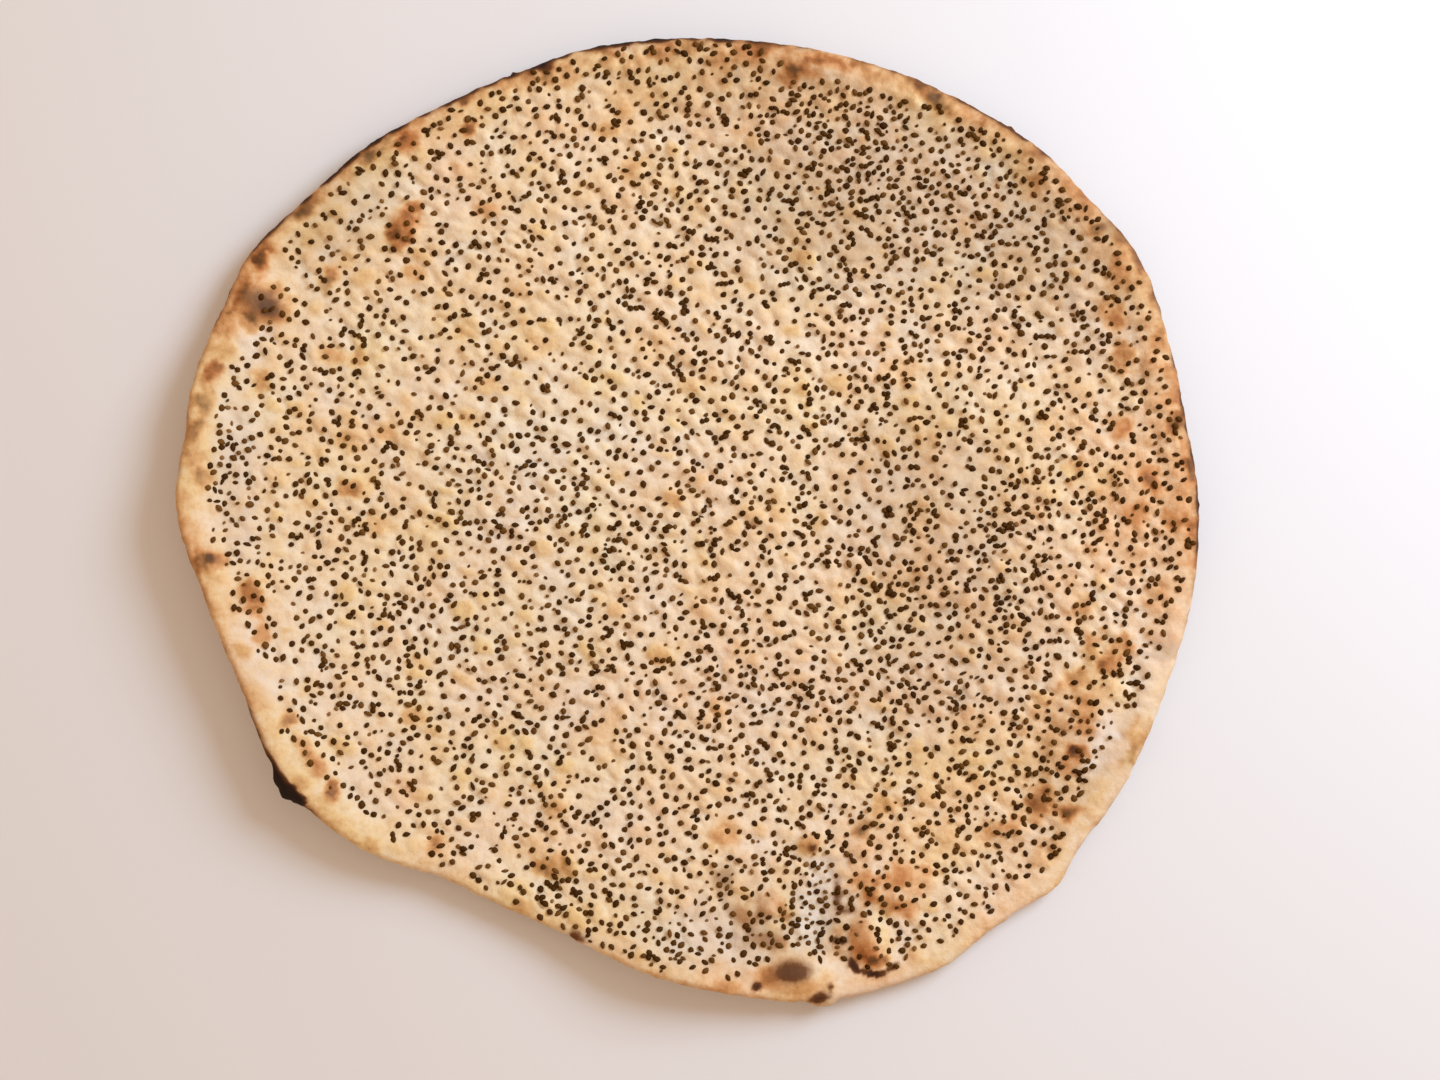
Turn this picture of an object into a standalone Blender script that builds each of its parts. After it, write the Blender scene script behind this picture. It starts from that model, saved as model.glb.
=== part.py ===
"""Tamees: a wide, thin leavened flatbread baked against an oven wall and strewn with black seeds.

The bread is one piece. It lies on a flat sole, its rim curls up unevenly all round, and steam has
raised blisters in its top crust. +X is the long way across it, and the origin is on the table under
the middle of its outline. Lengths are in millimetres until the mesh is written, in metres.
"""

import math

import bmesh
import bpy
from mathutils import Vector, noise
from mathutils.geometry import delaunay_2d_cdt

MM = 0.001

# Driving dimensions of the whole bread.
HALF_WIDTH = 170.0  # from the middle to the right-hand edge
THICKNESS = 4.2  # of the sheet away from its lip and blisters
SOLE_SHARE = 0.42  # the share of the way to the edge that lies flat on the table
CURL_POWER = 2.2  # how late the curl starts: 1 is a straight slope
LIP_HEIGHT = 1.3  # swelling of the dough just inside the edge
LIP_INSET = 6.5
LIP_WIDTH = 5.0
EDGE_ROUNDING = 2.3  # how far the rounded edge reaches inwards
PUFF_HEIGHT = 0.7  # slow swelling and sinking of the top crust
PUFF_LENGTH = 38.0

# The outline, as (bearing in degrees anticlockwise from +X, radius as a share of HALF_WIDTH).
EDGE_RADII = (
    (0, 1.000), (5, 0.998), (10, 0.993), (20, 1.005), (30, 1.023), (39.5, 1.007), (45, 1.007),
    (55, 0.988), (65, 0.974), (75, 0.961), (85, 0.953), (95, 0.953), (105, 0.953), (110.5, 0.948),
    (121, 0.955), (131, 0.978), (140, 0.989), (150, 1.017), (156, 1.011), (161, 1.012),
    (166, 1.012), (171, 1.003), (180, 1.003), (190.5, 0.960), (201, 0.939), (211, 0.950),
    (216.5, 0.945), (224, 0.924), (230, 0.896), (236, 0.863), (244, 0.854), (253, 0.858),
    (266, 0.907), (274.5, 0.940), (284.5, 0.986), (294.5, 1.009), (299.5, 1.016), (304.5, 1.008),
    (309.5, 1.011), (314.5, 1.025), (319, 1.007), (327, 1.005), (339, 0.995), (349, 0.999),
)

# How far the underside of the edge stands off the table, as (bearing, height).
EDGE_LIFTS = (
    (0, 8.0), (30, 7.0), (60, 6.0), (90, 5.5), (120, 5.0), (140, 4.8), (151, 6.0), (161, 9.5),
    (171, 13.0), (182, 15.0), (208, 14.0), (222, 11.0), (237, 6.2), (252, 7.5), (268, 12.0),
    (279, 7.5), (288, 3.6), (300, 3.0), (312, 2.6), (326, 4.0), (345, 6.5),
)

# What steam raised in the top crust: (x, y, half length, half width, turn in degrees, height).
BLISTERS = (
    (34.5, -152.3, 13.0, 8.6, 4, 3.4),  # smooth bubble on the front of the rim
    (60.2, -142.8, 11.0, 7.6, 109, 5.0),  # torn bubble beside it
    (68.0, -124.5, 17.0, 10.0, 15, 2.4),  # wide toasted swelling behind the torn bubble
    (27.5, -131.0, 6.5, 6.0, 60, 3.0),
    (42.5, -135.0, 11.0, 6.0, 80, -1.2),  # hollow between the bubbles
    (40.6, -109.5, 6.0, 5.0, 0, 2.0),
    (-143.0, 72.0, 12.0, 9.0, 165, 3.4),  # scorched bubble on the left of the rim
    (-97.0, 96.5, 9.0, 6.5, 80, 1.8),
    (-145.0, -26.0, 7.5, 6.0, 80, 1.8),
    (-123.5, -81.5, 15.0, 5.5, 124, 1.8),  # welt along the lower left of the rim
    (-42.7, -115.9, 12.0, 7.5, 160, 2.2),
    (-45.3, -97.0, 7.0, 6.0, 70, 1.6),
    (132.5, -69.5, 36.0, 11.0, 65, 2.6),  # welt along the right of the rim
    (105.0, -104.0, 8.0, 7.0, 0, 1.6),
    (149.0, 8.0, 15.0, 10.0, 95, 1.6),
    (-114.0, 8.7, 6.0, 6.0, 0, 1.4),
    (44.0, 150.5, 16.0, 6.0, 168, 1.6),  # welt along the back of the rim
)

# Mesh spacing.
EDGE_POINTS = 180
EDGE_BANDS = 4
TOP_SPACING = 6.6
SOLE_SPACING = 12.0
BLISTER_RINGS = ((0.0, 1), (0.45, 7), (0.85, 12))  # (share of the blister's size, points)
CLEARANCE_SHARE = 0.55  # of the spacing, kept clear between neighbouring points

CRUST_COLOR = (0.79, 0.58, 0.34, 1.0)
CRUST_ROUGHNESS = 0.75


def around(stations, bearing):
    """The smooth closed curve through (bearing, value) stations, read at a bearing in degrees."""
    count = len(stations)
    bearing %= 360.0
    start = max(i for i in range(count) if stations[i][0] <= bearing)

    def station(index):
        turns, place = divmod(index, count)
        return stations[place][0] + 360.0 * turns, stations[place][1]

    (a0, v0), (a1, v1), (a2, v2), (a3, v3) = (station(start + step) for step in (-1, 0, 1, 2))
    span = a2 - a1
    share = (bearing - a1) / span
    slope_in = (v2 - v0) / (a2 - a0) * span
    slope_out = (v3 - v1) / (a3 - a1) * span
    bend = share * share * (3.0 - 2.0 * share)
    return (
        v1 + (v2 - v1) * bend
        + slope_in * share * (1.0 - share) ** 2
        - slope_out * share * share * (1.0 - share)
    )


def polar(x, y):
    return math.hypot(x, y), math.degrees(math.atan2(y, x))


def edge_radius(bearing):
    return HALF_WIDTH * around(EDGE_RADII, bearing)


def underside(x, y):
    """Height of the underside: flat in the middle, curling up to the edge."""
    radius, bearing = polar(x, y)
    share = radius / edge_radius(bearing)
    curl = max(0.0, (share - SOLE_SHARE) / (1.0 - SOLE_SHARE))
    return around(EDGE_LIFTS, bearing) * curl**CURL_POWER


def blister_height(x, y):
    """Height that the blisters add to the top crust, each a dome that eases out at its foot."""
    total = 0.0
    for centre_x, centre_y, half_length, half_width, turn, height in BLISTERS:
        angle = math.radians(turn)
        dx, dy = x - centre_x, y - centre_y
        along = (dx * math.cos(angle) + dy * math.sin(angle)) / half_length
        across = (dy * math.cos(angle) - dx * math.sin(angle)) / half_width
        total += height * max(0.0, 1.0 - along * along - across * across) ** 1.5
    return total


def sheet_thickness(x, y):
    radius, bearing = polar(x, y)
    inset = edge_radius(bearing) - radius
    lip = LIP_HEIGHT * math.exp(-(((inset - LIP_INSET) / LIP_WIDTH) ** 2))
    puff = PUFF_HEIGHT * noise.noise(Vector((x / PUFF_LENGTH, y / PUFF_LENGTH, 0.0)))
    return THICKNESS + lip + puff + blister_height(x, y)


def top(x, y):
    return underside(x, y) + sheet_thickness(x, y)


def edge_ring(inset):
    """Points round the outline, moved inwards by inset."""
    ring = []
    for step in range(EDGE_POINTS):
        bearing = 360.0 * step / EDGE_POINTS
        radius = edge_radius(bearing) - inset
        ring.append((radius * math.cos(math.radians(bearing)), radius * math.sin(math.radians(bearing))))
    return ring


def edge_rings():
    """Rings of (x, y, z) that turn the edge over from the top crust to the underside."""
    rings = []
    for band in range(EDGE_BANDS + 1):
        angle = math.pi * band / EDGE_BANDS
        outer = EDGE_ROUNDING * (1.0 - math.sin(angle))
        ring = []
        for (x, y), (x_in, y_in) in zip(edge_ring(outer), edge_ring(EDGE_ROUNDING)):
            low, high = underside(x_in, y_in), top(x_in, y_in)
            ring.append((x, y, (low + high) / 2.0 + (high - low) / 2.0 * math.cos(angle)))
        rings.append(ring)
    return rings


def lattice(spacing):
    """An even triangular lattice of points inside the outline."""
    row_gap = spacing * math.sqrt(3.0) / 2.0
    rows = math.ceil(1.1 * HALF_WIDTH / row_gap)
    columns = math.ceil(1.1 * HALF_WIDTH / spacing)
    points = []
    for row in range(-rows, rows + 1):
        shift = spacing / 2.0 if row % 2 else 0.0
        for column in range(-columns, columns + 1):
            x, y = column * spacing + shift, row * row_gap
            radius, bearing = polar(x, y)
            if radius < edge_radius(bearing) - EDGE_ROUNDING - CLEARANCE_SHARE * spacing:
                points.append((x, y))
    return points


def blister_points():
    """Rings of extra points that give each blister its dome."""
    points = []
    for centre_x, centre_y, half_length, half_width, turn, _height in BLISTERS:
        angle = math.radians(turn)
        for share, count in BLISTER_RINGS:
            for step in range(count):
                bearing = math.tau * step / count
                along = half_length * share * math.cos(bearing)
                across = half_width * share * math.sin(bearing)
                points.append((
                    centre_x + along * math.cos(angle) - across * math.sin(angle),
                    centre_y + along * math.sin(angle) + across * math.cos(angle),
                ))
    return points


def thinned(points, kept, gap):
    """The points that lie at least gap from those kept, which come first, and from each other."""
    kept = list(kept)
    for point in points:
        if all(math.dist(point, other) >= gap for other in kept):
            kept.append(point)
    return kept


def add_sheet(mesh, ring, inner_points, height, faces_up):
    """Triangulates the area inside a ring of mesh vertices over the inner points."""
    flat = [Vector(vertex.co[:2]) for vertex in ring] + [Vector(point) for point in inner_points]
    outline = [list(range(len(ring)))]
    placed, _edges, triangles, sources, _, _ = delaunay_2d_cdt(flat, [], outline, 1, 1e-6)
    vertices = []
    for point, source in zip(placed, sources):
        if source and source[0] < len(ring):
            vertices.append(ring[source[0]])
        else:
            vertices.append(mesh.verts.new((point.x, point.y, height(point.x, point.y))))
    for triangle in triangles:
        corners = [vertices[i] for i in triangle]
        mesh.faces.new(corners if faces_up else corners[::-1])


def bread_mesh():
    mesh = bmesh.new()
    rings = [[mesh.verts.new(point) for point in ring] for ring in edge_rings()]
    for upper, lower in zip(rings, rings[1:]):
        for i in range(EDGE_POINTS):
            j = (i + 1) % EDGE_POINTS
            mesh.faces.new((upper[j], upper[i], lower[i], lower[j]))
    gap = CLEARANCE_SHARE * TOP_SPACING
    edge = [vertex.co[:2] for vertex in rings[0]]
    top_points = thinned(blister_points() + lattice(TOP_SPACING), edge, gap)[len(edge):]
    inside = [p for p in top_points if polar(*p)[0] < edge_radius(polar(*p)[1]) - EDGE_ROUNDING - gap]
    add_sheet(mesh, rings[0], inside, top, faces_up=True)
    add_sheet(mesh, rings[-1], lattice(SOLE_SPACING), underside, faces_up=False)
    bmesh.ops.scale(mesh, vec=Vector((MM, MM, MM)), verts=mesh.verts)
    bmesh.ops.recalc_face_normals(mesh, faces=mesh.faces)
    return mesh


def crust_material():
    material = bpy.data.materials.new("baked_crust")
    material.use_nodes = True
    surface = material.node_tree.nodes["Principled BSDF"]
    surface.inputs["Base Color"].default_value = CRUST_COLOR
    surface.inputs["Roughness"].default_value = CRUST_ROUGHNESS
    surface.inputs["Metallic"].default_value = 0.0
    return material


def make_bread():
    data = bpy.data.meshes.new("bread")
    mesh = bread_mesh()
    mesh.to_mesh(data)
    mesh.free()
    data.materials.append(crust_material())
    data.shade_smooth()
    bread = bpy.data.objects.new("bread", data)
    bpy.context.scene.collection.objects.link(bread)
    return bread


for leftover in list(bpy.data.objects):
    bpy.data.objects.remove(leftover)
make_bread()
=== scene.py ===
# A tamees: a wide leavened flatbread, slapped against an oven wall to bake and strewn with black
# seeds. Lengths are in millimetres until a mesh or a material is written. Places are (x, y) from the
# middle of the bread, and bearings are in degrees anticlockwise from +X.
import math

import bpy
import numpy as np
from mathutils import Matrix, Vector, kdtree, noise


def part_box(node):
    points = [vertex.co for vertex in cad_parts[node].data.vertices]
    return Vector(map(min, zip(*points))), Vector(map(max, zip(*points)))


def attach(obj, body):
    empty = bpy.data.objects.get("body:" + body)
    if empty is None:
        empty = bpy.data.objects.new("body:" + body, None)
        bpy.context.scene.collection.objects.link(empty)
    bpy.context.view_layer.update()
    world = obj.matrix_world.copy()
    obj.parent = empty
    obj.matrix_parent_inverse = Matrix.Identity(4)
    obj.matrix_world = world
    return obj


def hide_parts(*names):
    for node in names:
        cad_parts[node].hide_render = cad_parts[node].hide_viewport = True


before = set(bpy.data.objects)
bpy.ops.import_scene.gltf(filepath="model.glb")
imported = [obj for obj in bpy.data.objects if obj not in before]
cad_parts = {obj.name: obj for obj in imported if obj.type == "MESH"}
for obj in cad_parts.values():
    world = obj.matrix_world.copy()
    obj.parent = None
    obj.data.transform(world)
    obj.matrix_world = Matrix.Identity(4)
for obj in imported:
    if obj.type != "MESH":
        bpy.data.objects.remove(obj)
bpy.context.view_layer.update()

MM = 0.001

# -------- the bread's shape, as its solid

HALF_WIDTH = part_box("bread")[1][0] / MM  # from the middle to the right-hand edge
THICKNESS = 4.2
SOLE_SHARE = 0.42  # the share of the way to the edge that lies flat
CURL_POWER = 2.2
LIP_HEIGHT = 1.3
LIP_INSET = 6.5
LIP_WIDTH = 5.0
EDGE_ROUNDING = 2.3
PUFF_HEIGHT = 0.7
PUFF_SIZE = 38.0
BLISTER_POWER = 1.5  # above 1, so that blisters blend softly into the sheet

# The outline, as (bearing, radius as a share of HALF_WIDTH).
EDGE_RADII = (
    (0, 1.000), (5, 0.998), (10, 0.993), (20, 1.005), (30, 1.023), (39.5, 1.007), (45, 1.007),
    (55, 0.988), (65, 0.974), (75, 0.961), (85, 0.953), (95, 0.953), (105, 0.953), (110.5, 0.948),
    (121, 0.955), (131, 0.978), (140, 0.989), (150, 1.017), (156, 1.011), (161, 1.012),
    (166, 1.012), (171, 1.003), (180, 1.003), (190.5, 0.960), (201, 0.939), (211, 0.950),
    (216.5, 0.945), (224, 0.924), (230, 0.896), (236, 0.863), (244, 0.854), (253, 0.858),
    (266, 0.907), (274.5, 0.940), (284.5, 0.986), (294.5, 1.009), (299.5, 1.016), (304.5, 1.008),
    (309.5, 1.011), (314.5, 1.025), (319, 1.007), (327, 1.005), (339, 0.995), (349, 0.999),
)

# How far the underside of the edge stands off the floor, as (bearing, height).
EDGE_LIFTS = (
    (0, 8), (30, 7), (60, 6), (90, 5.5), (120, 5), (140, 4.8), (151, 6), (161, 9.5), (171, 13),
    (182, 15), (208, 14), (222, 11), (237, 6.2), (252, 7.5), (268, 12), (279, 7.5), (288, 3.6),
    (300, 3), (312, 2.6), (326, 4), (345, 6.5),
)

# What steam raised in the top crust: (x, y, half length, half width, turn in degrees, height).
BLISTERS = (
    (34.5, -152.3, 13.0, 8.6, 4, 3.4),  # smooth bubble on the front of the rim
    (60.2, -142.8, 11.0, 7.6, 109, 5.0),  # torn bubble beside it
    (68.0, -124.5, 17.0, 10.0, 15, 2.4),  # wide toasted swelling behind the torn bubble
    (27.5, -131.0, 6.5, 6.0, 60, 3.0),
    (42.5, -135.0, 11.0, 6.0, 80, -1.2),  # hollow between the bubbles
    (40.6, -109.5, 6.0, 5.0, 0, 2.0),
    (-143.0, 72.0, 12.0, 9.0, 165, 3.4),  # scorched bubble on the left of the rim
    (-97.0, 96.5, 9.0, 6.5, 80, 1.8),
    (-145.0, -26.0, 7.5, 6.0, 80, 1.8),
    (-123.5, -81.5, 15.0, 5.5, 124, 1.8),  # welt along the lower left of the rim
    (-42.7, -115.9, 12.0, 7.5, 160, 2.2),
    (-45.3, -97.0, 7.0, 6.0, 70, 1.6),
    (132.5, -69.5, 36.0, 11.0, 65, 2.6),  # welt along the right of the rim
    (105.0, -104.0, 8.0, 7.0, 0, 1.6),
    (149.0, 8.0, 15.0, 10.0, 95, 1.6),
    (-114.0, 8.7, 6.0, 6.0, 0, 1.4),
    (44.0, 150.5, 16.0, 6.0, 168, 1.6),  # welt along the back of the rim
)

# -------- fine relief of the dough

# Noise is a list of waves, each (strength, size, layer).
PILLOW_SIZE = 5.6  # the dough rises in small pillows between the seeds
PILLOW_STRETCH = 1.5  # their length over their width
PILLOW_HEIGHT = 1.0
PILLOW_LEVEL = 0.6  # the share of that height at which the dough's own level lies
PILLOW_CREASE = 0.55  # how far the creases between them spread
PILLOW_WANDER = ((2.0, 16.0, 3.0),)
PILLOW_NUMBERING = 7.0  # high enough for neighbours to get different numbers
RIPPLE_GAP = 9.0  # the baker's fingers left ripples this far apart
RIPPLE_HEIGHT = 0.38
RIPPLE_AXES = (0.0, 0.0, 1.0, 1.0, -30.0)  # a mark of size 1 that lies along a crest
RIPPLE_PATCH = (-37.0, 48.0, 85.0, 75.0, 150)  # where they are strong: x, y, half axes, turn
RIPPLE_REACH = 1.5  # they have faded out at this many times those half axes
RIPPLE_ELSEWHERE = 0.12
RIPPLE_WANDER = ((3.0, 30.0, 5.0),)
RIPPLE_MEAN = 0.75  # their mean strength, and how it varies
RIPPLE_VARIETY = ((0.5, 12.0, 7.0),)
GRAIN = ((0.16, 2.2, 9.0),)
SKIN_RELIEF = 0.25  # the share of the relief that the smooth skin of the rim has
SKIN_FADE = 5.0  # how far past the seedless band it takes to come in full
DENT_DEPTH = 0.35  # each seed sits in a dent
DENT_RADIUS = 1.5
EDGE_WOBBLE = ((0.45, 5.0, 13.0), (0.225, 1.8, 17.0))  # the edge is a little ragged
WOBBLE_POWER = 8  # how fast that dies away inwards
EDGE_GRAIN = 0.12
EDGE_GRAIN_SIZE = 2.5
EDGE_GRAIN_LAYER = 31.0  # and one more for each band of the edge
LUMP_REACH = 1.3  # a charred lump has ended at this many times its half angle
LUMP_RISE = 1.6  # how quickly it grows from the top crust down
LUMP_VARIETY = ((0.5, 1.3, 29.0),)
LUMP_BAND = 3.0  # how far apart the bands of the edge are in that noise
SOLE_BUMPS = ((0.7, 11.0, 19.0), (0.35, 4.5, 23.0))
SOLE_BUMP_POWER = 6  # how suddenly they die away at the edge

# -------- browning of the top crust

BAKE_LEVEL = 0.268  # how dark plain crust is baked: 0 is raw dough, 1 is brown
BAKE_WAVES = ((0.10, 17.0, 43.0), (0.06, 6.0, 47.0))
TOP_BAKE = 0.05  # how much darker the tops of the pillows are than the creases
GOLDEN_FROM = 0.55  # the pillows with a higher number than this, of -1 to 1, have golden tops
GOLDEN_BAKE = 0.19  # how much darker the most golden tops are
GOLD_LEVEL = 0.42  # the crust's hue: 0 is rosy, 1 is olive gold
GOLD_TREND = -0.15  # from the middle to the right
GOLD_WAVES = ((0.6, 24.0, 71.0),)
GOLD_ON_TOPS = 0.5
MARK_REACH = 1.35  # a mark has faded out at this many times its size
MARK_RAGGEDNESS = ((0.5, 5.0, 37.0), (0.3, 2.0, 41.0))
RIM_RAGGEDNESS = 1.2
FLOUR_FADE = (0.36, 0.56)  # flour shows less as the crust is baked from one of these to the other
SOLE_BAKE = 0.42
SOLE_SPOT_BAKE = 0.42  # how much darker its spots are
SOLE_SCORCH = 0.9
SOLE_SCORCH_FROM = 0.75  # stronger spots than this are scorched
SOLE_DULLNESS = 0.3
SOLE_GOLD = 0.5
SOLE_SPOTS = ((1.0, 13.0, 59.0), (0.6, 5.0, 61.0))
SOLE_FLOUR = ((0.5, 22.0, 67.0),)

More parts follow.
